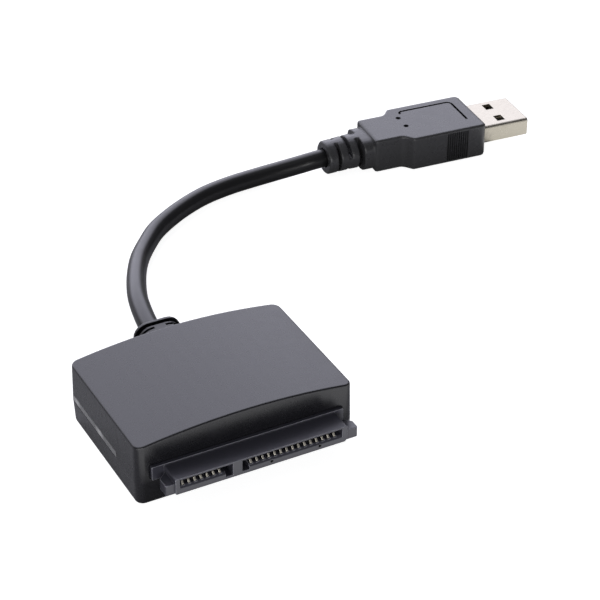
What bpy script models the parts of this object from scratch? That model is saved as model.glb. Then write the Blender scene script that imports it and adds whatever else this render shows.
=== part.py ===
"""Adapter lead: a small two-part housing with a 22-contact drive receptacle, a round cord and a USB-A plug.

Metres, +Z up, the housing and the plug both lie on z = 0, the drive receptacle faces -Y.
"""

import math

import bmesh
import bpy
from mathutils import Matrix, Vector

# Clearances
clearance = 0.0003
contact_clearance = 0.00015
finish_gap = 0.00012

# Housing
body_width = 0.0456
body_depth = 0.0318
body_corner_radius = 0.0016
body_edge_height = 0.0131
body_arch_rise = 0.00177
body_back_bow = 0.0003
top_edge_radius = 0.0003
bottom_edge_radius = 0.0004
side_flare = 0.00012
flare_height = 0.0050
base_taper = 0.0002
wall = 0.0015

# Cover that closes the housing from below, level with its rim
cover_thickness = 0.0015
cover_corner_radius = 0.0005

# Light window along the left rear edge
light_bottom = 0.00505
light_top = 0.0062
light_front_inset = 0.0097
light_back_reach = 0.0055
light_thickness = 0.0013

# Drive receptacle, measured from its front face and from the housing's middle
receptacle_reach = 0.0059
receptacle_left = -0.0177
receptacle_width = 0.03615
receptacle_bottom = 0.0050
receptacle_top = 0.00845
receptacle_edge_radius = 0.00025
receptacle_chamfer = 0.00054
receptacle_depth = 0.0093
flange_overhang_left = 0.00245
flange_overhang_right = 0.00185
flange_bottom = 0.00575
flange_top = 0.0087
flange_proud = 0.0008
flange_thickness = 0.0018
flange_corner_radius = 0.00025
slot_floor = 0.00655
slot_height = 0.0016
slot_depth = 0.0056
left_side_wall = 0.0009
signal_slot_width = 0.0109
divider_width = 0.00195
power_slot_width = 0.0213
key_width = 0.0015
signal_key_drop = 0.00105
power_key_drop = 0.00095
lead_in_drop = 0.0004
lead_in_depth = 0.0005
vent_radius = 0.00026
vent_depth = 0.0008
vent_height = 0.0058
vent_offset = 0.00619
vent_spacing = 0.01026

# Guide wings beside the receptacle
wing_root_overlap = 0.0004
left_wing_reach = 0.00175
left_wing_bottom = 0.0050
left_wing_top = 0.0072
left_wing_slant = 0.0016
right_wing_reach = 0.0025
right_wing_bottom = 0.0049
right_wing_top = 0.0071
right_wing_slant = 0.0021
wing_front_setback = 0.0005
wing_back_gap = 0.00035
wing_edge_radius = 0.00025

# Spring contacts
contact_pitch = 0.00127
contact_width = 0.0004
contact_thickness = 0.0002
signal_contacts = 7
power_contacts = 15
first_signal_offset = 0.00081
first_power_offset = 0.00208
groove_width = 0.0007
groove_drop = 0.0006
groove_front = 0.00045
contact_tip_depth = 0.00060
contact_crest_depth = 0.0012
contact_crest_rise = 0.00065
contact_heel_depth = 0.0048
contact_tail_length = 0.0013

# Circuit board and its parts, whose places are shares of the board's half width
board_thickness = 0.0012
board_length = 0.0240
board_side_gap = 0.0006
board_front_lead = 0.0012
post_radius = 0.0014
post_inset = 0.0036
controller_side = 0.0070
controller_height = 0.0009
memory_length = 0.0050
memory_width = 0.0040
memory_height = 0.0012
crystal_length = 0.0032
crystal_width = 0.0016
crystal_height = 0.0007
regulator_length = 0.0045
regulator_width = 0.0030
regulator_height = 0.0014
led_length = 0.0016
led_width = 0.0008
led_height = 0.0006
choke_side = 0.0040
choke_height = 0.0018
memory_place = -0.55
crystal_place = 0.38
power_place = 0.68
choke_shift = 0.0060

# Cord and its grommet in the housing's back
cord_radius = 0.00215
cord_exit_x = -0.0003
cord_exit_z = 0.0065
grommet_length = 0.0091
grommet_half_width = 0.00475
grommet_half_height = 0.00415
grommet_corner_radius = 0.0030
grommet_taper = 0.0003
grommet_plate_half_width = 0.00515
grommet_plate_half_height = 0.00445
grommet_plate_round = 0.0004
grommet_neck_half_width = 0.0042
grommet_neck_half_height = 0.0036
grommet_flange_thickness = 0.0014
grommet_slot_width = 0.0006
grommet_slot_inner = 0.00125
grommet_slot_outer = 0.0040
grommet_slot_depth = 0.0010
grommet_plate = 0.0009
grommet_ring_width = 0.0006
grommet_ring_depth = 0.0005
grommet_rib_width = 0.0006
sleeve_depth = 0.0020

# USB-A plug
plug_x = 0.106957
plug_back = 0.059943
plug_heading = -4.857
plug_half_width = 0.0080
plug_half_height = 0.0042
plug_edge_radius = 0.0005
plug_front = -0.00015
plug_front_round_side = 0.0012
plug_front_round_top = 0.0005
wide_end = -0.0190
waist_start = -0.0218
waist_half_width = 0.0057
waist_end = -0.0282
waist_end_round_side = 0.0006
waist_end_round_top = 0.0004

# Flexing relief behind the plug's waist, bent a little the way the cord leaves
relief_radius = 0.0039
relief_start_half_width = 0.0053
relief_start_squareness = 0.55
relief_middle_half_width = 0.0047
relief_end_half_width = 0.0042
relief_end = -0.0395
relief_end_round = 0.0003
relief_bend = 0.0007
side_slots = ((-0.03185, -0.03075), (-0.03725, -0.0364))
over_slot = (-0.03455, -0.0336)
side_slot_web = 0.0011
over_slot_top = 0.0005
over_slot_bottom = -0.0024
rib_count = 10
rib_first = -0.0105
rib_pitch = 0.00057
rib_width = 0.00028
rib_depth = 0.00025
rib_margin = 0.0006

shell_length = 0.0120
shell_width = 0.0120
shell_height = 0.0045
shell_wall = 0.0003
shell_bend_radius = 0.00065
shell_root = 0.0035
window_from_tip = 0.0052
window_length = 0.0020
window_width = 0.0025
window_offset = 0.0030
tongue_thickness = 0.0018
tongue_setback = 0.0007
pad_width = 0.0010
pad_length = 0.0070
pad_thickness = 0.00015
pad_offsets = (-0.0035, -0.0010, 0.0010, 0.0035)
fast_pad_width = 0.0006
fast_pad_length = 0.0016
fast_pad_pitch = 0.0020
fast_pad_count = 5
fast_pad_gap = 0.0006

# Cord route after the straight exit, as x, distance behind the housing's front face, and height
cord_route = (
    (0.0001, 0.0454, 0.00645),
    (0.0010, 0.0502, 0.00630),
    (0.00245, 0.0559, 0.00590),
    (0.0046, 0.0617, 0.00520),
    (0.0075, 0.0681, 0.00425),
    (0.0110, 0.0744, 0.00330),
    (0.0151, 0.0800, 0.00255),
    (0.0198, 0.0852, 0.00218),
    (0.0254, 0.0891, 0.00218),
    (0.0310, 0.0921, 0.00218),
    (0.0367, 0.0943, 0.00218),
    (0.0432, 0.0956, 0.00218),
    (0.0496, 0.09605, 0.00225),
    (0.0553, 0.0958, 0.00260),
    (0.0610, 0.0950, 0.00330),
)
cord_points_per_span = 3
cord_lead = 0.0028
cord_lead_shift = 0.0003
cord_bevel_steps = 3

# Derived places. The origin is under the middle of the housing and its receptacle.
overall_depth = receptacle_reach + body_depth + body_back_bow
receptacle_front = -overall_depth / 2
body_front = receptacle_front + receptacle_reach
body_back = body_front + body_depth
half_width = body_width / 2
receptacle_right = receptacle_left + receptacle_width
receptacle_back = receptacle_front + receptacle_depth
flange_front = body_front - flange_proud
flange_left = receptacle_left - flange_overhang_left
flange_right = receptacle_right + flange_overhang_right
signal_left = receptacle_left + left_side_wall
signal_right = signal_left + signal_slot_width
power_left = signal_right + divider_width
power_right = power_left + power_slot_width
slot_roof = slot_floor + slot_height
board_top = receptacle_bottom - clearance
board_bottom = board_top - board_thickness
board_front = receptacle_back - board_front_lead
plug_axis_z = plug_half_height
relief_lift = relief_radius - plug_half_height

# How the plug narrows: share of the way to the waist, and share of the extra width that is left
waist_profile = ((0.0, 1.0), (0.12, 0.93), (0.3, 0.66), (0.5, 0.36), (0.7, 0.14), (0.85, 0.04), (1.0, 0.0))

# Points on each rounded corner of the housing and steps along its arch
corner_steps = 5
arch_steps = 14

# Middle point of a two-step corner as a share of its radius
corner_cut = 1 - math.sqrt(0.5)

# Smooth shading keeps edges sharper than this
edge_degrees = 35


def material(name, color, metallic=0.0, roughness=0.5):
    made = bpy.data.materials.new(name)
    made.use_nodes = True
    made.diffuse_color = (*color, 1.0)
    shader = made.node_tree.nodes["Principled BSDF"]
    shader.inputs["Base Color"].default_value = (*color, 1.0)
    shader.inputs["Metallic"].default_value = metallic
    shader.inputs["Roughness"].default_value = roughness
    return made


def add_mesh(name, verts, faces, look, smooth=False):
    mesh = bpy.data.meshes.new(name)
    work = bmesh.new()
    made = [work.verts.new(v) for v in verts]
    for face in faces:
        work.faces.new([made[i] for i in face])
    bmesh.ops.recalc_face_normals(work, faces=work.faces)
    for face in work.faces:
        face.smooth = smooth
    work.to_mesh(mesh)
    work.free()
    obj = bpy.data.objects.new(name, mesh)
    bpy.context.scene.collection.objects.link(obj)
    if look is not None:
        mesh.materials.append(look)
    return obj


def prism(outline, low, high, axis):
    """Vertices and faces of an outline drawn across the axis and stretched along it."""
    def place(a, b, along):
        if axis == "X":
            return (along, a, b)
        if axis == "Y":
            return (a, along, b)
        return (a, b, along)
    count = len(outline)
    verts = [place(a, b, low) for a, b in outline] + [place(a, b, high) for a, b in outline]
    faces = [tuple(range(count)), tuple(range(2 * count - 1, count - 1, -1))]
    for i in range(count):
        j = (i + 1) % count
        faces.append((i, j, j + count, i + count))
    return verts, faces


def box(x0, x1, y0, y1, z0, z1):
    return prism([(x0, y0), (x1, y0), (x1, y1), (x0, y1)], z0, z1, "Z")


def joined(pieces):
    """Several separate shapes as one set of vertices and faces."""
    verts, faces = [], []
    for piece_verts, piece_faces in pieces:
        start = len(verts)
        verts += piece_verts
        faces += [tuple(i + start for i in face) for face in piece_faces]
    return verts, faces


def rounded_rectangle(half_x, half_z, radius, steps=4, middle=(0.0, 0.0)):
    """Corner by corner, counter-clockwise from the lower right."""
    points = []
    corners = ((1, -1, -90), (1, 1, 0), (-1, 1, 90), (-1, -1, 180))
    for side_x, side_z, start in corners:
        for step in range(steps + 1):
            turn = math.radians(start + 90 * step / steps)
            points.append((
                middle[0] + side_x * (half_x - radius) + radius * math.cos(turn),
                middle[1] + side_z * (half_z - radius) + radius * math.sin(turn),
            ))
    return points


def cutter(name, pieces, matrix=None):
    verts, faces = joined(pieces)
    obj = add_mesh(name, verts, faces, None)
    if matrix is not None:
        obj.data.transform(matrix)
    obj.hide_render = True
    obj.display_type = "WIRE"
    return obj


def boolean(target, other, operation):
    modifier = target.modifiers.new(other.name, "BOOLEAN")
    modifier.operation = operation
    modifier.solver = "EXACT"
    modifier.object = other


def shade_smooth(obj):
    mesh = obj.data
    work = bmesh.new()
    work.from_mesh(mesh)
    for face in work.faces:
        face.smooth = True
    for edge in work.edges:
        edge.smooth = len(edge.link_faces) == 2 and edge.calc_face_angle() < math.radians(edge_degrees)
    work.to_mesh(mesh)
    work.free()


# Housing outline, with the same stations along X on its front and its back
def housing_stations(inset, grown):
    half = half_width + grown
    turn_radius = body_corner_radius - inset
    corner = half - body_corner_radius
    front, back = [], []
    for step in range(corner_steps + 1):
        turn = math.radians(90 * (1 - step / corner_steps))
        x = -corner - turn_radius * math.sin(turn)
        front.append((x, body_front - grown + body_corner_radius - turn_radius * math.cos(turn)))
        back.append((x, body_back + grown - body_corner_radius + turn_radius * math.cos(turn)))
    for step in range(1, arch_steps):
        x = -corner + 2 * corner * step / arch_steps
        front.append((x, body_front - grown + inset))
        back.append((x, body_back + grown - inset))
    for side in (front, back):
        side.append((corner, side[corner_steps][1]))
        side += [(-x, y) for x, y in reversed(side[:corner_steps])]
    back = [(x, y + body_back_bow * (1 - (x / half) ** 2)) for x, y in back]
    return front, back


def housing_loop(inset, grown, base, rise=0.0):
    front, back = housing_stations(inset, grown)
    flat = front + back[::-1]
    return [(x, y, base + rise * (1 - (x / half_width) ** 2)) for x, y in flat]


def housing_shell(name, loops, look):
    count = len(loops[0])
    columns = count // 2
    verts = [v for loop in loops for v in loop]
    faces = []
    for level in range(len(loops) - 1):
        for i in range(count):
            low = level * count
            high = low + count
            j = (i + 1) % count
            faces.append((low + i, low + j, high + j, high + i))
    for level in (0, len(loops) - 1):
        start = level * count
        for i in range(columns - 1):
            faces.append((start + i, start + i + 1, start + count - 2 - i, start + count - 1 - i))
    return add_mesh(name, verts, faces, look)


def edge_loops(radius, grown, height, rise, outward):
    """Loops of a rounded edge, from the flat face to the side wall."""
    loops = []
    for degrees in (90, 60, 30, 0):
        turn = math.radians(degrees)
        inset = radius * (1 - math.cos(turn))
        level = height - outward * radius * (1 - math.sin(turn))
        loops.append(housing_loop(inset, grown, level, rise))
    return loops


def build_housing(upper_look, lower_look, light_look):
    # Open box: over the top, down the side, round the rim and up the inside
    foot = side_flare - base_taper
    loops = edge_loops(top_edge_radius, 0.0, body_edge_height, body_arch_rise, 1)
    loops.append(housing_loop(0.0, side_flare, flare_height))
    loops += edge_loops(bottom_edge_radius, foot, 0.0, 0.0, -1)[::-1]
    loops.append(housing_loop(wall, foot, 0.0))
    loops.append(housing_loop(wall, side_flare, flare_height))
    loops.append(housing_loop(wall, 0.0, body_edge_height - wall, body_arch_rise))
    upper = housing_shell("upper_shell", loops, upper_look)

    margin = wall + clearance - foot
    outline = rounded_rectangle(
        half_width - margin, body_depth / 2 - margin, cover_corner_radius, 4,
        (0.0, (body_front + body_back) / 2))
    verts, faces = prism(outline, 0.0, cover_thickness, "Z")
    lower = add_mesh("lower_shell", verts, faces, lower_look)

    # Opening for the receptacle's block and a seat for its flange
    outside = body_front - 2 * wall
    inside = body_front + 2 * wall
    opening = cutter("receptacle_opening", [
        box(receptacle_left - clearance, receptacle_right + clearance, outside, inside,
            receptacle_bottom - clearance, receptacle_top + clearance),
    ])
    seat = prism(flange_outline(finish_gap), outside, inside, "Y")
    boolean(upper, opening, "DIFFERENCE")
    boolean(upper, cutter("flange_seat", [seat]), "DIFFERENCE")

    # Opening for the grommet's neck
    neck = rounded_rectangle(
        grommet_neck_half_width + clearance, grommet_neck_half_height + clearance,
        grommet_corner_radius, middle=(cord_exit_x, cord_exit_z))
    neck_opening = prism(neck, body_back - 2 * wall, body_back + 2 * wall, "Y")
    boolean(upper, cutter("neck_opening", [neck_opening]), "DIFFERENCE")

    # Posts on the cover, under the board
    post_x = half_width - post_inset
    posts = []
    for x in (-post_x, post_x):
        for y in (board_front + post_inset, board_front + board_length - post_inset):
            posts.append(prism(ring(post_radius, (x, y), 12), wall / 2, board_bottom - clearance, "Z"))
    boolean(lower, cutter("board_posts", posts), "UNION")

    # Light window: a strip in the left wall that turns the rear corner
    light_front = body_front + light_front_inset
    light_end = -half_width + light_back_reach
    outline = light_outline(0.0, 0.0, light_front, light_end)
    verts, faces = prism(outline, light_bottom, light_top, "Z")
    light = add_mesh("light_guide", verts, faces, light_look)
    shade_smooth(light)
    grown = light_outline(2 * clearance, 2 * clearance, light_front - finish_gap, light_end + finish_gap)
    slot = prism(grown, light_bottom - finish_gap, light_top + finish_gap, "Z")
    boolean(upper, cutter("light_slot", [slot]), "DIFFERENCE")


def light_outline(outset, depth, start, end):
    """Plan of the strip that follows the left wall and turns the rear corner."""
    back = housing_stations(0.0, side_flare)[1]
    corner = back[:corner_steps + 1]
    turn_x, turn_y = corner[-1][0], corner[0][1]
    left = corner[0][0] + light_thickness + depth
    rear = corner[-1][1] - light_thickness - depth
    outline = [(corner[0][0] - outset, start)]
    for x, y in corner:
        away = Vector((x - turn_x, y - turn_y)).normalized() * outset
        outline.append((x + away.x, y + away.y))
    outline.append((end, back[corner_steps + 1][1] + outset))
    return outline + [(end, rear), (left, rear), (left, start)]


def flange_outline(grown):
    """Rounded outline of the receptacle's flange, seen from the front."""
    return rounded_rectangle(
        (flange_right - flange_left) / 2 + grown, (flange_top - flange_bottom) / 2 + grown,
        flange_corner_radius + grown,
        middle=((flange_left + flange_right) / 2, (flange_bottom + flange_top) / 2))


def wing(side_x, reach, slant, low, high):
    """Guide wing from the receptacle's side outwards, slanted at its back."""
    sign = 1 if reach > 0 else -1
    root = side_x - sign * wing_root_overlap
    tip = side_x + reach
    back_y = flange_front - wing_back_gap
    front_y = receptacle_front + wing_front_setback
    rounding = wing_edge_radius
    points = [
        (root, back_y),
        (side_x, back_y),
        (tip, back_y - slant),
        (tip, front_y + rounding),
        (tip - sign * rounding * corner_cut, front_y + rounding * corner_cut),
        (tip - sign * rounding, front_y),
        (root, front_y),
    ]
    return prism(points, low, high, "Z")


def build_receptacle(look):
    radius = receptacle_edge_radius
    left, right = receptacle_left, receptacle_right
    low, high = receptacle_bottom, receptacle_top
    cut = corner_cut * radius
    profile = [
        (left + radius, low),
        (right - receptacle_chamfer, low),
        (right, low + receptacle_chamfer),
        (right, high - radius),
        (right - cut, high - cut),
        (right - radius, high),
        (left + radius, high),
        (left + cut, high - cut),
        (left, high - radius),
        (left, low + radius),
        (left + cut, low + cut),
    ]
    verts, faces = prism(profile, receptacle_front, receptacle_back, "Y")
    housing = add_mesh("sata_housing", verts, faces, look)
    plate = prism(flange_outline(0.0), flange_front, flange_front + flange_thickness, "Y")
    boolean(housing, cutter("flange_plate", [plate]), "UNION")
    left_wing = wing(left, -left_wing_reach, left_wing_slant, left_wing_bottom, left_wing_top)
    right_wing = wing(right, right_wing_reach, right_wing_slant, right_wing_bottom, right_wing_top)
    boolean(housing, cutter("wings", [left_wing, right_wing]), "UNION")

    # L-shaped slots
    ahead = receptacle_front - wall
    inner = receptacle_front + slot_depth
    signal = [
        (signal_left, slot_floor),
        (signal_right - key_width, slot_floor),
        (signal_right - key_width, slot_floor - signal_key_drop),
        (signal_right, slot_floor - signal_key_drop),
        (signal_right, slot_roof),
        (signal_left, slot_roof),
    ]
    power = [
        (power_left, slot_floor - power_key_drop),
        (power_left + key_width, slot_floor - power_key_drop),
        (power_left + key_width, slot_floor),
        (power_right, slot_floor),
        (power_right, slot_roof),
        (power_left, slot_roof),
    ]
    slots = cutter("slots", [prism(signal, ahead, inner, "Y"), prism(power, ahead, inner, "Y")])
    boolean(housing, slots, "DIFFERENCE")

    # Lead-in on the lower lip
    slope = lead_in_drop / lead_in_depth
    chamfer_front = receptacle_front - lead_in_depth
    lead_in = [
        (chamfer_front, slot_floor - slope * 2 * lead_in_depth),
        (receptacle_front + lead_in_depth, slot_floor),
        (receptacle_front + lead_in_depth, slot_floor + slot_height / 2),
        (chamfer_front, slot_floor + slot_height / 2),
    ]
    lead_ins = cutter("lead_ins", [
        prism(lead_in, signal_left, signal_right - key_width / 2, "X"),
        prism(lead_in, power_left + key_width / 2, power_right, "X"),
    ])
    boolean(housing, lead_ins, "DIFFERENCE")

    # One groove for each contact, open to the slot and through the back
    start, end = receptacle_front + groove_front, receptacle_back + wall
    grooves = cutter("grooves", [
        box(x - groove_width / 2, x + groove_width / 2, start, end,
            slot_floor - groove_drop, slot_floor + slot_height / 4)
        for x in contact_places()
    ])
    boolean(housing, grooves, "DIFFERENCE")

    vents = []
    for offset in (0.0, vent_spacing):
        middle = (power_left + vent_offset + offset, vent_height)
        hole = ring(vent_radius, middle, 8)
        vents.append(prism(hole, receptacle_front - vent_depth, receptacle_front + vent_depth, "Y"))
    boolean(housing, cutter("vents", vents), "DIFFERENCE")
    return housing


def contact_places():
    signal = [signal_left + first_signal_offset + i * contact_pitch for i in range(signal_contacts)]
    power = [power_left + first_power_offset + i * contact_pitch for i in range(power_contacts)]
    return signal + power


def ribbon(path, thickness):
    """Outline of a bent strip of even thickness around a path."""
    above, below = [], []
    for i, point in enumerate(path):
        before = Vector(path[max(i - 1, 0)])
        after = Vector(path[min(i + 1, len(path) - 1)])
        here = Vector(point)
        ways = [(b - a).normalized() for a, b in ((before, here), (here, after)) if (b - a).length > 0]
        along = sum(ways, Vector((0.0, 0.0))).normalized()
        across = Vector((-along.y, along.x))
        reach = thickness / 2 / max(across.dot(Vector((-ways[0].y, ways[0].x))), 0.5)
        above.append(tuple(here + across * reach))
        below.append(tuple(here - across * reach))
    return above + below[::-1]


def build_contacts(look):
    groove_floor = slot_floor - groove_drop
    bed = groove_floor + contact_clearance + contact_thickness / 2
    crest = slot_floor + contact_crest_rise
    tail_z = board_top + contact_clearance + contact_thickness / 2
    bend = receptacle_back + clearance
    path = [
        (receptacle_front + contact_tip_depth, slot_floor),
        (receptacle_front + contact_crest_depth - contact_thickness, crest - contact_thickness / 2),
        (receptacle_front + contact_crest_depth, crest),
        (receptacle_front + contact_crest_depth + 2 * contact_thickness, crest - contact_thickness / 4),
        (receptacle_front + contact_heel_depth, bed),
        (bend, bed),
        (bend + 2 * contact_thickness, bed - contact_thickness),
        (bend + 2 * contact_thickness, tail_z + contact_thickness),
        (bend + 3 * contact_thickness, tail_z),
        (bend + contact_tail_length, tail_z),
    ]
    verts, faces = prism(ribbon(path, contact_thickness), -contact_width / 2, contact_width / 2, "X")
    names = [f"sata_contact_s{i + 1}" for i in range(signal_contacts)]
    names += [f"sata_contact_p{i + 1}" for i in range(power_contacts)]
    first = None
    for name, x in zip(names, contact_places()):
        if first is None:
            first = add_mesh(name, verts, faces, look)
            obj = first
        else:
            obj = bpy.data.objects.new(name, first.data)
            bpy.context.scene.collection.objects.link(obj)
        obj.location.x = x


def build_board(board_look, chip_look, metal_look, led_look, ferrite_look):
    inside = half_width - wall - board_side_gap
    board_back = board_front + board_length
    verts, faces = box(-inside, inside, board_front, board_back, board_bottom, board_top)
    add_mesh("circuit_board", verts, faces, board_look)
    middle_y = board_front + board_length / 2
    under = board_top + clearance / 3
    memory_x = memory_place * inside
    crystal_x = crystal_place * inside
    power_x = power_place * inside
    led_x = led_length - inside
    pieces = (
        ("controller_chip", 0.0, middle_y, controller_side, controller_side, controller_height, chip_look),
        ("memory_chip", memory_x, middle_y, memory_length, memory_width, memory_height, chip_look),
        ("crystal", crystal_x, middle_y, crystal_length, crystal_width, crystal_height, metal_look),
        ("regulator", power_x, middle_y, regulator_length, regulator_width, regulator_height, chip_look),
        ("power_choke", power_x, middle_y + choke_shift, choke_side, choke_side, choke_height, ferrite_look),
        ("status_led", led_x, middle_y, led_length, led_width, led_height, led_look),
    )
    for name, x, y, length, width, height, look in pieces:
        half_x, half_y = length / 2, width / 2
        verts, faces = box(x - half_x, x + half_x, y - half_y, y + half_y, under, under + height)
        add_mesh(name, verts, faces, look)


def loft(sections):
    """Vertices and faces through sections with the same number of points, closed at both ends."""
    count = len(sections[0])
    verts = [v for section in sections for v in section]
    faces = [tuple(range(count)), tuple(range(len(verts) - 1, len(verts) - 1 - count, -1))]
    for level in range(len(sections) - 1):
        for i in range(count):
            low = level * count
            high = low + count
            j = (i + 1) % count
            faces.append((low + i, low + j, high + j, high + i))
    return verts, faces


def ring(radius, middle=(0.0, 0.0), steps=24):
    turns = [2 * math.pi * i / steps for i in range(steps)]
    return [(middle[0] + radius * math.cos(turn), middle[1] + radius * math.sin(turn)) for turn in turns]


def build_grommet(look):
    inner_wall = body_back - wall
    flange_front_y = inner_wall - clearance - grommet_flange_thickness
    boot_start = body_back + body_back_bow + clearance
    boot_end = body_back + grommet_length
    middle = (cord_exit_x, cord_exit_z)

    def section(y, half_x, half_z):
        return [(x, y, z) for x, z in rounded_rectangle(half_x, half_z, grommet_corner_radius, 5, middle)]

    wide, tall = grommet_half_width, grommet_half_height
    thin_x, thin_z = grommet_neck_half_width, grommet_neck_half_height
    plate_x, plate_z = grommet_plate_half_width, grommet_plate_half_height
    plate_start = boot_end - grommet_plate
    groove_start = plate_start - grommet_ring_width
    deep = grommet_ring_depth
    sections = [
        section(flange_front_y, wide, tall),
        section(inner_wall - clearance, wide, tall),
        section(inner_wall - clearance, thin_x, thin_z),
        section(boot_start, thin_x, thin_z),
        section(boot_start, wide + grommet_taper, tall),
        section(groove_start, wide, tall),
        section(groove_start, wide - deep, tall - deep),
        section(plate_start, wide - deep, tall - deep),
        section(plate_start, plate_x, plate_z),
    ]
    for degrees in (0, 30, 60, 90):
        turn = math.radians(degrees)
        inset = grommet_plate_round * (1 - math.cos(turn))
        behind = grommet_plate_round * (1 - math.sin(turn))
        sections.append(section(boot_end - behind, plate_x - inset, plate_z - inset))
    verts, faces = loft(sections)
    grommet = add_mesh("cable_grommet", verts, faces, look)

    # Flexing slots in the top and the bottom, on each side of a bridge
    slot_back = groove_start - grommet_rib_width
    slot_front = slot_back - grommet_slot_width
    slots = []
    for side in (-1, 1):
        x0, x1 = sorted((side * grommet_slot_inner, side * grommet_slot_outer))
        for up in (-1, 1):
            z0, z1 = sorted((up * (grommet_half_height - grommet_slot_depth), up * 2 * grommet_half_height))
            slots.append(box(
                cord_exit_x + x0, cord_exit_x + x1, slot_front, slot_back,
                cord_exit_z + z0, cord_exit_z + z1))
    boolean(grommet, cutter("grommet_slots", slots), "DIFFERENCE")

    bore = ring(cord_radius + clearance, middle)
    sleeve = prism(bore, boot_end - sleeve_depth, boot_end + sleeve_depth, "Y")
    boolean(grommet, cutter("grommet_sleeve", [sleeve]), "DIFFERENCE")
    shade_smooth(grommet)
    return boot_end


def plug_matrix():
    return Matrix.Translation((plug_x, body_front + plug_back + body_depth, plug_axis_z)) @ Matrix.Rotation(
        math.radians(plug_heading), 4, "Z")


def relief_middle(u):
    """How far the relief's middle has moved sideways at a place along it."""
    share = max(0.0, (waist_end - u) / (waist_end - relief_end))
    return -relief_bend * share ** 2


def build_overmould(look, at):
    wide, tall = plug_half_width, plug_half_height
    thin = waist_half_width

    def section(u, half_v, half_w):
        return [(u, v, w) for v, w in rounded_rectangle(half_v, half_w, plug_edge_radius, 5)]

    sections = []
    for degrees in (90, 60, 30, 0):
        turn = math.radians(degrees)
        side_inset = plug_front_round_side * (1 - math.cos(turn))
        top_inset = plug_front_round_top * (1 - math.cos(turn))
        behind = plug_front_round_side * (1 - math.sin(turn))
        sections.append(section(plug_front - behind, wide - side_inset, tall - top_inset))
    for along, share in waist_profile:
        u = wide_end + along * (waist_start - wide_end)
        sections.append(section(u, thin + share * (wide - thin), tall))
    for degrees in (0, 30, 60, 90):
        turn = math.radians(degrees)
        side_inset = waist_end_round_side * (1 - math.cos(turn))
        top_inset = waist_end_round_top * (1 - math.cos(turn))
        ahead = waist_end_round_side * (1 - math.sin(turn))
        sections.append(section(waist_end + ahead, thin - side_inset, tall - top_inset))
    verts, faces = loft(sections)
    over = add_mesh("plug_overmould", verts, faces, look)
    over.data.transform(at)

    # Relief, squarish at the waist and nearly round at its end
    def oval(u, half_v, half_w, squareness=1.0):
        shift = relief_middle(u)
        points = []
        for v, w in ring(1.0, steps=32):
            v = math.copysign(abs(v) ** squareness, v)
            w = math.copysign(abs(w) ** squareness, w)
            points.append((u, shift + v * half_v, relief_lift + w * half_w))
        return points

    first_slot_start, first_slot_end = side_slots[0]
    middle_u = sum(over_slot) / 2
    relief_sections = [
        oval(waist_end + wall, relief_start_half_width, relief_radius, relief_start_squareness),
        oval(first_slot_end, relief_start_half_width, relief_radius, relief_start_squareness),
        oval(first_slot_start, relief_middle_half_width, relief_radius),
        oval(middle_u, (relief_middle_half_width + relief_end_half_width) / 2, relief_radius),
        oval(relief_end + relief_end_round, relief_end_half_width, relief_radius),
        oval(relief_end, relief_end_half_width - relief_end_round, relief_radius - relief_end_round),
    ]
    boolean(over, cutter("relief", [loft(relief_sections)], at), "UNION")

    cuts = []
    beyond = 2 * relief_start_half_width
    for u0, u1 in side_slots:
        shift = relief_middle((u0 + u1) / 2)
        cuts.append(box(u0, u1, -beyond, shift - side_slot_web, -beyond, beyond))
        cuts.append(box(u0, u1, shift + side_slot_web, beyond, -beyond, beyond))
    u0, u1 = over_slot
    cuts.append(box(u0, u1, -beyond, beyond, relief_lift + over_slot_top, beyond))
    cuts.append(box(u0, u1, -beyond, beyond, -beyond, relief_lift + over_slot_bottom))
    boolean(over, cutter("relief_slots", cuts, at), "DIFFERENCE")
    mouth = (relief_middle(relief_end), relief_lift)
    bore = ring(cord_radius + clearance, mouth)
    sleeve = prism(bore, relief_end - sleeve_depth, relief_end + sleeve_depth, "X")
    boolean(over, cutter("relief_sleeve", [sleeve], at), "DIFFERENCE")
    return over


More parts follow.
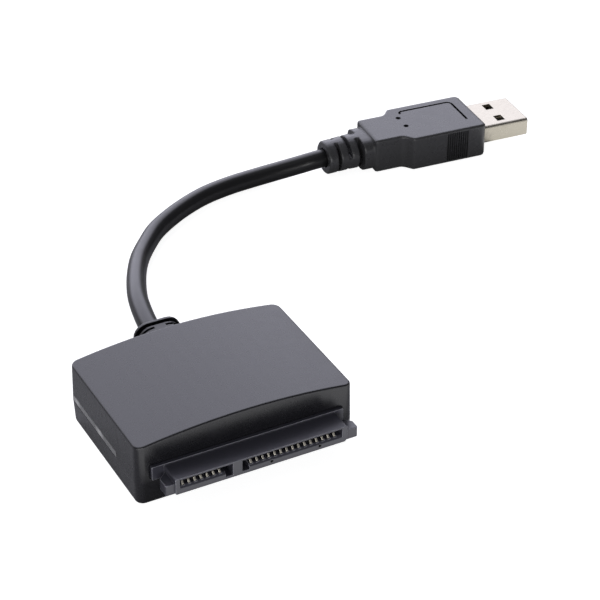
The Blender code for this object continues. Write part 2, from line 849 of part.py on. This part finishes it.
def build_plug(over_look, shell_look, tongue_look, pad_look):
    at = plug_matrix()
    over = build_overmould(over_look, at)
    tall = plug_half_height

    # Pocket that holds the metal shell
    pocket = rounded_rectangle(
        shell_width / 2 + clearance, shell_height / 2 + clearance, shell_bend_radius + clearance, 3)
    socket = prism(pocket, -shell_root - clearance, plug_front + wall, "X")
    boolean(over, cutter("shell_pocket", [socket], at), "DIFFERENCE")

    # Grip ribs on both sides
    ribs = []
    for index in range(rib_count):
        u0 = rib_first + index * rib_pitch
        for side in (-1, 1):
            v0, v1 = sorted((side * (plug_half_width - rib_depth), side * 2 * plug_half_width))
            ribs.append(box(u0, u0 + rib_width, v0, v1, -tall + rib_margin, tall - rib_margin))
    boolean(over, cutter("grip_ribs", ribs, at), "DIFFERENCE")

    # Metal shell: an open tube with two windows above and two below
    outer = rounded_rectangle(shell_width / 2, shell_height / 2, shell_bend_radius, 3)
    verts, faces = prism(outer, -shell_root, shell_length, "X")
    shell = add_mesh("usb_shell", verts, faces, shell_look)
    shell.data.transform(at)
    shade_smooth(shell)
    bore = rounded_rectangle(
        shell_width / 2 - shell_wall, shell_height / 2 - shell_wall, shell_bend_radius - shell_wall, 3)
    hollow = cutter("shell_hollow", [prism(bore, -shell_root - wall, shell_length + wall, "X")], at)
    boolean(shell, hollow, "DIFFERENCE")
    window_front = shell_length - window_from_tip
    windows = []
    for side in (-1, 1):
        v = side * window_offset
        windows.append(box(
            window_front - window_length, window_front, v - window_width / 2, v + window_width / 2,
            -shell_height, shell_height))
    boolean(shell, cutter("shell_windows", windows, at), "DIFFERENCE")

    # Tongue in the lower half of the shell, with its contact pads on top
    tongue_low = -shell_height / 2 + shell_wall + contact_clearance
    tongue_high = tongue_low + tongue_thickness
    tongue_tip = shell_length - tongue_setback
    tongue_half = shell_width / 2 - shell_wall - 2 * contact_clearance
    tongue_root = -shell_root + clearance
    verts, faces = box(tongue_root, tongue_tip, -tongue_half, tongue_half, tongue_low, tongue_high)
    tongue = add_mesh("usb_insulator", verts, faces, tongue_look)
    tongue.data.transform(at)
    pads = []
    pad_front = tongue_tip - pad_thickness * 4
    for v in pad_offsets:
        pads.append((pad_front - pad_length, pad_front, v, pad_width))
    fast_front = pad_front - pad_length - fast_pad_gap
    for index in range(fast_pad_count):
        v = (index - (fast_pad_count - 1) / 2) * fast_pad_pitch
        pads.append((fast_front - fast_pad_length, fast_front, v, fast_pad_width))
    recess = []
    floor = tongue_high - pad_thickness / 2
    for index, (u0, u1, v, width) in enumerate(pads):
        grown = contact_clearance / 2
        recess.append(box(u0 - grown, u1 + grown, v - width / 2 - grown, v + width / 2 + grown,
                          floor - grown, tongue_high + wall))
        verts, faces = box(u0, u1, v - width / 2, v + width / 2, floor, floor + pad_thickness)
        pad = add_mesh(f"usb_contact_{index + 1}", verts, faces, pad_look)
        pad.data.transform(at)
    boolean(tongue, cutter("pad_recesses", recess, at), "DIFFERENCE")


def smooth_path(knots, steps):
    """Points on a smooth curve through the knots."""
    points = []
    last = len(knots) - 1
    for i in range(last):
        a, b, c, d = (Vector(knots[k]) for k in (max(i - 1, 0), i, i + 1, min(i + 2, last)))
        for step in range(steps):
            t = step / steps
            points.append(0.5 * (
                2 * b + (c - a) * t + (2 * a - 5 * b + 4 * c - d) * t * t + (3 * b - a - 3 * c + d) * t ** 3))
    points.append(Vector(knots[last]))
    return points


def build_cord(boot_end, look):
    at = plug_matrix()
    side = relief_middle(relief_end)
    start = (cord_exit_x, boot_end - sleeve_depth + clearance, cord_exit_z)
    mouth = (cord_exit_x, boot_end + clearance, cord_exit_z)
    relief_mouth = at @ Vector((relief_end, side, relief_lift))
    relief_inside = at @ Vector((relief_end + sleeve_depth - clearance, side, relief_lift))
    before = at @ Vector((relief_end - cord_lead, side - cord_lead_shift, relief_lift))
    knots = [start, mouth]
    knots += [(x, body_front + distance, z) for x, distance, z in cord_route]
    knots += [tuple(before), tuple(relief_mouth), tuple(relief_inside)]
    points = smooth_path(knots, cord_points_per_span)
    curve = bpy.data.curves.new("usb_cable", "CURVE")
    curve.dimensions = "3D"
    curve.bevel_depth = cord_radius
    curve.bevel_resolution = cord_bevel_steps
    curve.use_fill_caps = True
    spline = curve.splines.new("POLY")
    spline.points.add(len(points) - 1)
    for target, point in zip(spline.points, points):
        target.co = (*point, 1.0)
    curve.materials.append(look)
    obj = bpy.data.objects.new("usb_cable", curve)
    bpy.context.scene.collection.objects.link(obj)


def main():
    for obj in list(bpy.data.objects):
        bpy.data.objects.remove(obj, do_unlink=True)
    housing_look = material("housing_plastic", (0.145, 0.145, 0.165), 0.0, 0.42)
    base_look = material("base_plastic", (0.03, 0.03, 0.034), 0.0, 0.45)
    light_look = material("light_plastic", (0.55, 0.56, 0.58), 0.0, 0.3)
    receptacle_look = material("receptacle_plastic", (0.05, 0.05, 0.062), 0.0, 0.4)
    gold_look = material("contact_gold", (0.85, 0.62, 0.3), 1.0, 0.3)
    board_look = material("board_green", (0.02, 0.12, 0.06), 0.0, 0.5)
    chip_look = material("chip_black", (0.02, 0.02, 0.022), 0.0, 0.5)
    metal_look = material("crystal_steel", (0.6, 0.6, 0.6), 1.0, 0.3)
    led_look = material("led_resin", (0.7, 0.72, 0.7), 0.0, 0.3)
    ferrite_look = material("choke_ferrite", (0.08, 0.08, 0.085), 0.0, 0.6)
    grommet_look = material("grommet_rubber", (0.06, 0.06, 0.066), 0.0, 0.55)
    cord_look = material("cord_jacket", (0.06, 0.06, 0.064), 0.0, 0.5)
    over_look = material("overmould_plastic", (0.13, 0.13, 0.145), 0.0, 0.45)
    steel_look = material("shell_steel", (0.85, 0.82, 0.76), 1.0, 0.3)
    tongue_look = material("tongue_plastic", (0.015, 0.015, 0.017), 0.0, 0.45)
    pad_look = material("pad_gold", (0.85, 0.62, 0.3), 1.0, 0.3)

    build_housing(housing_look, base_look, light_look)
    build_receptacle(receptacle_look)
    build_contacts(gold_look)
    build_board(board_look, chip_look, metal_look, led_look, ferrite_look)
    boot_end = build_grommet(grommet_look)
    build_plug(over_look, steel_look, tongue_look, pad_look)
    build_cord(boot_end, cord_look)


main()
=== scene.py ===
"""Adapter lead on a pale table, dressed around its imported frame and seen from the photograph's angle."""

import math

import bmesh
import bpy
from mathutils import Matrix, Vector


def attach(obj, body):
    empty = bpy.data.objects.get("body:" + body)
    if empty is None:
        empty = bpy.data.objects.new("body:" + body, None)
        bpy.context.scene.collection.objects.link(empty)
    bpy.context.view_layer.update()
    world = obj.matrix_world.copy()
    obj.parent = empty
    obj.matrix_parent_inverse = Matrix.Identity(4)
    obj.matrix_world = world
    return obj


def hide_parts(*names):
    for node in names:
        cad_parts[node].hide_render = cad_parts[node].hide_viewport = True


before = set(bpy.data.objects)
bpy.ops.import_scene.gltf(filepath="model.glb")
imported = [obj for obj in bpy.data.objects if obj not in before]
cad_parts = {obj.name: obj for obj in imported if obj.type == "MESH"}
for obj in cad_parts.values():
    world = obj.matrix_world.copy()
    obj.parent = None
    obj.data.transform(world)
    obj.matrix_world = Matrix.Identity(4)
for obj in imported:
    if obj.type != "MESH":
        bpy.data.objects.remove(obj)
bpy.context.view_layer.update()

# Camera, solved from the photograph: place in metres, angles in degrees, lens in millimetres
CAMERA_PLACE = (-0.139443, -0.295577, 0.247006)
CAMERA_HEADING = -28.06
CAMERA_DROP = 33.393
CAMERA_ROLL = 0.381
CAMERA_LENS = 125.06
SENSOR_WIDTH = 36.0
CLIP_START = 0.01

# Floor, white to the camera, with two glowing pools that only gloss reflects, painted reflections for the
# receptacle's front and the metal shell's side: axis, start, full, strength
FLOOR_HALF_SIZE = 3.0
FLOOR_HEIGHT = -0.00003
FLOOR_COLOUR = (0.55, 0.55, 0.55)
FLOOR_ROUGHNESS = 0.9
FLOOR_GLOW = 0.90
FLOOR_GLOW_POOLS = (("Y", -0.0190, -0.0265, 1.12), ("X", 0.1085, 0.1110, 0.98))

# Surroundings, dim but for a pale sheet behind the object
AMBIENT = (0.14, 0.14, 0.15)
BACKDROP = (2.35, 2.35, 2.72)
BACKDROP_TOWARD = (0.10, 0.83, 0.50)
BACKDROP_EDGE = (0.70, 0.92)

# Softboxes: name, place, point aimed at, width and height, power
SOFTBOXES = (
    ("top_box", (0.0, 0.05, 0.9), (0.02, 0.03, 0.0), (0.9, 0.9), 0.4),
    ("left_box", (-0.8, -0.1, 0.45), (0.0, 0.03, 0.0), (0.5, 0.5), 0.2),
    ("front_box", (-0.50, -0.78, 0.19), (0.02, 0.0, 0.0), (1.2, 0.36), 6.0),
    ("side_rear_box", (-0.54, 0.70, 0.30), (0.0, 0.04, 0.0), (0.5, 0.4), 0.4),
)

# Small rounding that every moulded and stamped edge shows
EDGE_ROUND = 0.00018
HOUSING_EDGE = 0.0004
RECEPTACLE_EDGE = 0.00025
PLUG_EDGE = 0.0007
GRIP_EDGE = 0.00004
EDGE_SAMPLES = 8

# Texture scales, in repeats per metre: mottling, gloss, and the lines and gloss of metal
MOTTLING = 180
GLOSS_PATCHES = 420
METAL_LINES = 2600
METAL_GLOSS = 900

# Light window: base colour, colour of the pale spots painted on it as highlights, and the place and reach of
# each spot
WINDOW = (0.16, 0.16, 0.16)
WINDOW_HIGHLIGHT = (0.48, 0.48, 0.48)
GLINTS = (((-0.0229, 0.0044, 0.0056), 0.0022), ((-0.0226, 0.0155, 0.0056), 0.0020))

# Receptacle: colour, colour of the painted highlight on its convex edges, and the small holes in its lower
# lip, painted black as shade
RECEPTACLE = (0.040, 0.040, 0.052)
RECEPTACLE_HIGHLIGHT = (0.44, 0.44, 0.50)
HIGHLIGHT_REACH = 0.00022
HIGHLIGHT_SHARE = (0.35, 0.75)
LIP_HOLES = ((0.00224, -0.0187, 0.0058), (0.01250, -0.0187, 0.0058))
HOLE_SHADE = (0.00042, 0.00050)

# Plug: heading, and the point on the shell's axis 12 mm behind its tip
PLUG_PLACE = (0.106957, 0.078643, 0.0042)
PLUG_HEADING = -4.857
PLUG_TOP = 0.0042

# Plug's moulding, and the ribbed grip along it, darkened with painted shade, in the plug's own plane
OVERMOULD = (0.038, 0.038, 0.040)
GRIP_SHADE = (0.014, 0.014, 0.015)
GRIP_MIDDLE = -0.0078
GRIP_REACH = 0.0028
GRIP_MARGIN = 0.0006

# Engraved line round the field on the plug's top, and two dots behind it, in the same plane, drawn as flat
# dark strips of painted shade
LINE_LIFT = 0.00001
LINE_WIDTH = 0.00056
LINE_START = ((-0.0172, 0.0046), (-0.0171, 0.0053), (-0.0166, 0.0057))
LINE_CORNER = (-0.0046, 0.0045)
LINE_CORNER_RADIUS = 0.0012
LINE_END = (-0.0034, -0.0037)
DOTS = ((-0.0185, 0.0029), (-0.0184, -0.0013))
DOT_RADIUS = 0.00063

# Cord: straight out of the grommet, down to the table and up to the plug's relief
CORD_RADIUS = 0.00215
CORD_EXIT = (-0.0003, 0.0278, 0.0065)
CORD_ROUTE = (
    (0.0001, 0.0323, 0.00645),
    (0.0010, 0.0371, 0.00630),
    (0.00245, 0.0428, 0.00590),
    (0.0046, 0.0486, 0.00520),
    (0.0075, 0.0550, 0.00425),
    (0.0110, 0.0613, 0.00330),
    (0.0151, 0.0669, 0.00255),
    (0.0198, 0.0721, 0.00218),
    (0.0254, 0.0760, 0.00218),
    (0.0310, 0.0790, 0.00218),
    (0.0367, 0.0812, 0.00218),
    (0.0432, 0.0825, 0.00218),
    (0.0496, 0.08295, 0.00225),
    (0.0553, 0.0827, 0.00260),
    (0.0610, 0.0819, 0.00330),
)
CORD_STEPS = 6
CORD_ROUNDNESS = 7

# Where the cord meets the relief, in the plug's own plane, and how deep both ends sit
RELIEF_END = -0.0395
RELIEF_SIDE = -0.0007
RELIEF_LIFT = -0.0003
CORD_LEAD = 0.0028
CORD_LEAD_SHIFT = 0.0003
SLEEVE_DEPTH = 0.0020
CLEARANCE = 0.0003


class Nodes:
    """Short calls that add nodes to a tree and join them."""

    def __init__(self, tree):
        self.tree = tree

    def node(self, kind, **settings):
        made = self.tree.nodes.new("ShaderNode" + kind)
        for key, value in settings.items():
            setattr(made, key, value)
        return made

    def feed(self, socket, value):
        """Joins an output to the socket, or sets a plain value on it."""
        if isinstance(value, bpy.types.NodeSocket):
            self.tree.links.new(value, socket)
        else:
            socket.default_value = value

    def math(self, operation, *values, kind="Math"):
        made = self.node(kind, operation=operation)
        for socket, value in zip(made.inputs, values):
            self.feed(socket, value)
        return made.outputs["Value"]

    def vector(self, operation, *values):
        """Sum on vectors whose result is a number."""
        return self.math(operation, *values, kind="VectorMath")

    def span(self, value, low, high, from_low=0.3, from_high=0.7, curve="LINEAR"):
        made = self.node("MapRange", interpolation_type=curve)
        given = {"Value": value, "From Min": from_low, "From Max": from_high, "To Min": low, "To Max": high}
        for name, number in given.items():
            self.feed(made.inputs[name], number)
        return made.outputs["Result"]

    def blend(self, share, first, second):
        """Colour between the first and the second."""
        made = self.node("Mix", data_type="RGBA")
        colours = [c if isinstance(c, bpy.types.NodeSocket) else (*c, 1.0) for c in (first, second)]
        for index, value in zip((0, 6, 7), (share, *colours)):
            self.feed(made.inputs[index], value)
        return made.outputs[2]


class Look(Nodes):
    """A Principled material with detail from noise in object space and softly rounded edges."""

    def __init__(self, name, edge=EDGE_ROUND):
        self.material = bpy.data.materials.new(name)
        self.material.use_nodes = True
        super().__init__(self.material.node_tree)
        self.shader = self.tree.nodes["Principled BSDF"].inputs
        self.place = self.node("TexCoord").outputs["Object"]
        rounded = self.node("Bevel", samples=EDGE_SAMPLES)
        self.edge = rounded.inputs["Radius"]
        self.feed(self.edge, edge)
        self.normal = rounded.outputs["Normal"]

    def noise(self, scale, detail=3.0, rough=0.55, stretch=(1.0, 1.0, 1.0)):
        mapping = self.node("Mapping")
        self.feed(mapping.inputs["Scale"], stretch)
        self.feed(mapping.inputs["Vector"], self.place)
        made = self.node("TexNoise")
        given = {"Vector": mapping.outputs["Vector"], "Scale": scale, "Detail": detail, "Roughness": rough}
        for name, value in given.items():
            self.feed(made.inputs[name], value)
        return made.outputs["Fac"]

    def near(self, point, reach, start=0.0):
        """One at the point, falling from the start distance to nothing at the reach."""
        return self.span(self.vector("DISTANCE", self.place, point), 1.0, 0.0, start, reach)

    def within(self, direction, middle, reach):
        """One in the slab around the middle point, square to the direction, and nothing outside it."""
        along = self.vector("DOT_PRODUCT", self.place, direction)
        return self.math("COMPARE", along, Vector(direction).dot(Vector(middle)), reach)

    def colour(self, value):
        self.feed(self.shader["Base Color"], value)
        return self

    def roughness(self, value, low, high):
        self.feed(self.shader["Roughness"], self.span(value, low, high))

    def bump(self, value, depth):
        made = self.node("Bump")
        given = {"Distance": depth, "Strength": 1.0, "Height": value, "Normal": self.normal}
        for name, number in given.items():
            self.feed(made.inputs[name], number)
        self.feed(self.shader["Normal"], made.outputs["Normal"])


def scaled(colour, by):
    return tuple(c * by for c in colour)


def plastic(name, roughness, grain=9000, depth=0.000012, sheen=0.5, edge=EDGE_ROUND):
    """Plastic that has no colour yet: fine spark-eroded grain and slightly uneven gloss."""
    look = Look(name, edge)
    look.roughness(look.noise(GLOSS_PATCHES, 3.0), roughness - 0.02, roughness + 0.02)
    look.bump(look.noise(grain, 2.0, 0.6), depth)
    look.feed(look.shader["Specular IOR Level"], sheen)
    return look


def moulded(name, colour, roughness, spread=0.12, **surface):
    """Plastic whose colour is faintly mottled."""
    look = plastic(name, roughness, **surface)
    cloud = look.span(look.noise(MOTTLING, 4.0), 0.0, 1.0)
    return look.colour(look.blend(cloud, scaled(colour, 1 - spread), scaled(colour, 1 + spread)))


def metal(name, colour, roughness, brushed=(1.0, 1.0, 1.0), depth=0.0000015):
    """Plated metal with fine lines along its brushed direction."""
    look = Look(name)
    lines = look.noise(METAL_LINES, 3.0, 0.6, brushed)
    look.roughness(look.noise(METAL_GLOSS, 3.0, 0.6, brushed), roughness - 0.06, roughness + 0.08)
    look.bump(lines, depth)
    look.feed(look.shader["Metallic"], 1.0)
    return look.colour(look.blend(look.span(lines, 0.0, 1.0), scaled(colour, 0.97), colour))


def light_window():
    """Smoky light window, with pale spots painted on as highlights at two places along it."""
    look = plastic("light_window", 0.28)
    # painted highlights: the colour turns paler near each glint spot
    pale = look.math("MAXIMUM", *(look.near(point, reach) for point, reach in GLINTS))
    return look.colour(look.blend(pale, WINDOW, WINDOW_HIGHLIGHT))


def receptacle():
    """Dark receptacle plastic, with painted highlights on its convex edges and painted shade, black, in the
    small holes of its lip.
    """
    look = plastic("receptacle_black", 0.30, depth=0.000004, sheen=0.65, edge=RECEPTACLE_EDGE)
    # painted highlight: convex edges, found by occlusion inside the solid, get a paler colour
    inside = look.node("AmbientOcclusion", inside=True, samples=EDGE_SAMPLES)
    look.feed(inside.inputs["Distance"], HIGHLIGHT_REACH)
    corner = look.span(inside.outputs["AO"], 1.0, 0.0, *HIGHLIGHT_SHARE)
    colour = look.blend(corner, RECEPTACLE, RECEPTACLE_HIGHLIGHT)
    # painted shade: the colour goes black in and around the small holes of the lip
    start, reach = HOLE_SHADE
    for point in LIP_HOLES:
        colour = look.blend(look.near(point, reach, start), colour, (0.0, 0.0, 0.0))
    return look.colour(colour)


def overmould():
    """Satin plug plastic, with painted shade darkening the ribbed grip on its sides, and the grip's edges
    crisper.
    """
    look = plastic("overmould_satin", 0.28, depth=0.000005, sheen=0.50)
    at = plug_matrix()
    length = at.to_3x3() @ Vector((1.0, 0.0, 0.0))
    ribs = look.math(
        "MULTIPLY",
        look.within(length, at @ Vector((GRIP_MIDDLE, 0.0, 0.0)), GRIP_REACH),
        look.within((0.0, 0.0, 1.0), PLUG_PLACE, PLUG_TOP - GRIP_MARGIN))
    look.feed(look.edge, look.span(ribs, PLUG_EDGE, GRIP_EDGE, 0.0, 1.0))
    # faint random mottling, plus painted shade over the ribbed grip
    shade = look.math("MULTIPLY_ADD", look.noise(MOTTLING, 4.0), 0.1, ribs)
    return look.colour(look.blend(shade, OVERMOULD, GRIP_SHADE))


def make_looks():
    """The material of each node, the contacts apart."""
    return {
        "upper_shell": moulded(
            "housing_top", (0.008, 0.008, 0.010), 0.27, grain=5200, depth=0.0000055, edge=HOUSING_EDGE),
        "lower_shell": moulded("housing_base", (0.010, 0.010, 0.012), 0.42),
        "light_guide": light_window(),
        "sata_housing": receptacle(),
        "circuit_board": moulded("board_resist", (0.010, 0.060, 0.030), 0.35, 0.2),
        "controller_chip": moulded("chip_resin", (0.015, 0.015, 0.016), 0.5),
        "memory_chip": moulded("chip_resin_small", (0.015, 0.015, 0.016), 0.5),
        "regulator": moulded("regulator_resin", (0.015, 0.015, 0.016), 0.5),
        "power_choke": moulded("choke_core", (0.05, 0.05, 0.052), 0.6),
        "status_led": moulded("led_resin_clear", (0.6, 0.62, 0.6), 0.2, 0.03),
        "crystal": metal("crystal_can", (0.62, 0.61, 0.60), 0.25),
        "cable_grommet": moulded("grommet_soft", (0.008, 0.008, 0.009), 0.36),
        "plug_overmould": overmould(),
        "usb_shell": metal("shell_plating", (0.420, 0.392, 0.326), 0.30, (1.0, 8.0, 1.0)),
        "usb_insulator": moulded("tongue_black", (0.010, 0.010, 0.011), 0.4),
    }


def dress(node, look):
    """Gives a CAD node its scene material."""
    materials = bpy.data.objects[node].data.materials
    for index in range(len(materials)):
        materials[index] = look.material
    if not materials:
        materials.append(look.material)


def place_object(name, data):
    made = bpy.data.objects.new(name, data)
    bpy.context.scene.collection.objects.link(made)
    return made


def mesh_object(name, work, material):
    """Object from a bmesh, which is freed."""
    mesh = bpy.data.meshes.new(name)
    work.to_mesh(mesh)
    work.free()
    mesh.materials.append(material)
    return place_object(name, mesh)


def make_camera():
    heading, drop, roll = (math.radians(a) for a in (CAMERA_HEADING, CAMERA_DROP, CAMERA_ROLL))
    ahead = Vector((-math.sin(heading) * math.cos(drop), math.cos(heading) * math.cos(drop), -math.sin(drop)))
    right = ahead.cross(Vector((0.0, 0.0, 1.0))).normalized()
    up = right.cross(ahead)
    across = right * math.cos(roll) + up * math.sin(roll)
    upward = up * math.cos(roll) - right * math.sin(roll)
    data = bpy.data.cameras.new("photo_camera")
    data.sensor_width = SENSOR_WIDTH
    data.lens = CAMERA_LENS
    data.clip_start = CLIP_START
    camera = place_object("photo_camera", data)
    turn = Matrix((across, upward, -ahead)).transposed().to_4x4()
    camera.matrix_world = Matrix.Translation(CAMERA_PLACE) @ turn
    bpy.context.scene.camera = camera


def make_floor():
    """Pale floor that shows white behind the object, keeps its soft shadow, and glows in two pools seen only
    in reflections.
    """
    material = bpy.data.materials.new("studio_floor")
    material.use_nodes = True
    nodes = Nodes(material.node_tree)
    shader = nodes.tree.nodes["Principled BSDF"].inputs
    rays = nodes.node("LightPath").outputs
    axes = nodes.node("SeparateXYZ")
    nodes.feed(axes.inputs[0], nodes.node("TexCoord").outputs["Object"])
    pools = [
        nodes.span(axes.outputs[axis], 0.0, strength, start, full, "SMOOTHSTEP")
        for axis, start, full, strength in FLOOR_GLOW_POOLS]
    # painted reflection: the floor glows in its pools for gloss rays alone
    sheen = nodes.math("MULTIPLY", rays["Is Glossy Ray"], nodes.math("MAXIMUM", *pools))
    seen = nodes.math("ADD", rays["Is Camera Ray"], rays["Is Transmission Ray"])
    given = {
        "Base Color": (*FLOOR_COLOUR, 1.0), "Roughness": FLOOR_ROUGHNESS, "Specular IOR Level": 0.0,
        "Emission Color": (1.0, 1.0, 1.0, 1.0),
        "Emission Strength": nodes.math("MULTIPLY_ADD", seen, FLOOR_GLOW, sheen)}
    for name, value in given.items():
        nodes.feed(shader[name], value)
    work = bmesh.new()
    bmesh.ops.create_grid(work, x_segments=1, y_segments=1, size=FLOOR_HALF_SIZE)
    floor = mesh_object("studio_floor", work, material)
    floor.location.z = FLOOR_HEIGHT


def make_world():
    """Dim surroundings with one pale sheet, and a plain pale tone where the camera sees them."""
    world = bpy.data.worlds.new("studio_world")
    bpy.context.scene.world = world
    world.use_nodes = True
    nodes = Nodes(world.node_tree)
    toward = nodes.vector(
        "DOT_PRODUCT", nodes.node("TexCoord").outputs["Generated"], Vector(BACKDROP_TOWARD).normalized())
    sheet = nodes.span(toward, 0.0, 1.0, *BACKDROP_EDGE, "SMOOTHSTEP")
    back = nodes.tree.nodes["Background"]
    nodes.feed(back.inputs["Color"], nodes.blend(sheet, AMBIENT, BACKDROP))
    camera_ray = nodes.node("LightPath").outputs["Is Camera Ray"]
    plain = nodes.node("Background")
    seen = nodes.node("MixShader")
    for socket, value in zip(seen.inputs, (camera_ray, back.outputs[0], plain.outputs[0])):
        nodes.feed(socket, value)
    nodes.feed(nodes.tree.nodes["World Output"].inputs["Surface"], seen.outputs[0])


def make_softboxes():
    for name, place, aim, size, power in SOFTBOXES:
        data = bpy.data.lights.new(name, "AREA")
        data.shape = "RECTANGLE"
        data.size, data.size_y = size
        data.energy = power
        lamp = place_object(name, data)
        lamp.location = place
        lamp.rotation_euler = (Vector(aim) - Vector(place)).to_track_quat("-Z", "Y").to_euler()


def plug_matrix():
    return Matrix.Translation(PLUG_PLACE) @ Matrix.Rotation(math.radians(PLUG_HEADING), 4, "Z")


def smooth_path(knots, steps):
    """Points on the smooth curve through the knots."""
    points = []
    last = len(knots) - 1
    for i in range(last):
        a, b, c, d = (Vector(knots[k]) for k in (max(i - 1, 0), i, i + 1, min(i + 2, last)))
        for step in range(steps):
            t = step / steps
            points.append(0.5 * (
                2 * b + (c - a) * t + (2 * a - 5 * b + 4 * c - d) * t * t + (3 * b - a - 3 * c + d) * t ** 3))
    points.append(Vector(knots[last]))
    return points


def cord_points():
    at = plug_matrix()
    inner = SLEEVE_DEPTH - CLEARANCE
    x, y, z = CORD_EXIT
    knots = [(x, y - inner, z), (x, y + CLEARANCE, z), *CORD_ROUTE]
    knots.append(at @ Vector((RELIEF_END - CORD_LEAD, RELIEF_SIDE - CORD_LEAD_SHIFT, RELIEF_LIFT)))
    knots += [at @ Vector((RELIEF_END + further, RELIEF_SIDE, RELIEF_LIFT)) for further in (0.0, inner)]
    return smooth_path(knots, CORD_STEPS)


def make_cord(look):
    points = cord_points()
    curve = bpy.data.curves.new("cord_jacket", "CURVE")
    curve.dimensions = "3D"
    curve.bevel_depth = CORD_RADIUS
    curve.bevel_resolution = CORD_ROUNDNESS
    curve.use_fill_caps = True
    spline = curve.splines.new("POLY")
    spline.points.add(len(points) - 1)
    for target, point in zip(spline.points, points):
        target.co = (*point, 1.0)
    curve.materials.append(look.material)
    cord = place_object("cord_jacket", curve)
    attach(cord, "root")
    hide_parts("usb_cable")


def arc(middle, radius, start, end, steps=6):
    turns = (math.radians(start + (end - start) * step / steps) for step in range(steps + 1))
    return [(middle[0] + radius * math.cos(t), middle[1] + radius * math.sin(t)) for t in turns]


def flat_line(corners, width):
    """Flat strip of the given width along the corners."""
    points = [Vector((*corner, 0.0)) for corner in corners]
    work = bmesh.new()
    rows = []
    for i, point in enumerate(points):
        along = (points[min(i + 1, len(points) - 1)] - points[max(i - 1, 0)]).normalized()
        across = Vector((-along.y, along.x, 0.0)) * width / 2
        rows.append([work.verts.new(point + across), work.verts.new(point - across)])
    for first, second in zip(rows, rows[1:]):
        work.faces.new((first[0], first[1], second[1], second[0]))
    return work


def flat_dot(middle, radius):
    work = bmesh.new()
    spot = Matrix.Translation((*middle, 0.0))
    bmesh.ops.create_circle(work, cap_ends=True, segments=16, radius=radius, matrix=spot)
    return work


def make_engraving_shade(look):
    """Flat dark strips of painted shade for the engraved line round three sides of the field on the plug's
    top, and for two small dots behind it.
    """
    line = [*LINE_START, *arc(LINE_CORNER, LINE_CORNER_RADIUS, 90, 0), LINE_END]
    shapes = {"plug_field_line_shade": flat_line(line, LINE_WIDTH)}
    for index, middle in enumerate(DOTS):
        shapes[f"plug_dot_{index + 1}"] = flat_dot(middle, DOT_RADIUS)
    marks = []
    for name, work in shapes.items():
        bmesh.ops.recalc_face_normals(work, faces=work.faces)
        mark = mesh_object(name, work, look.material)
        mark.matrix_world = plug_matrix() @ Matrix.Translation((0.0, 0.0, PLUG_TOP + LINE_LIFT))
        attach(mark, "root")
        marks.append(mark)
    return marks


def main():
    bpy.context.scene.view_settings.view_transform = "Standard"
    make_camera()
    make_floor()
    make_world()
    make_softboxes()
    for node, look in make_looks().items():
        dress(node, look)
    gold = metal("contact_gold_plate", (0.56, 0.53, 0.46), 0.36)
    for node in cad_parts:
        if node.startswith(("sata_contact", "usb_contact")):
            dress(node, gold)
    # dark material of painted shade, where the engraved grooves are
    marks = make_engraving_shade(moulded("engraved_shade", (0.002, 0.002, 0.002), 0.6, sheen=0.0))
    cord_plastic = moulded(
        "cord_pvc", (0.007, 0.007, 0.0075), 0.30, 0.08, grain=7000, depth=0.000006, sheen=0.45)
    make_cord(cord_plastic)


main()
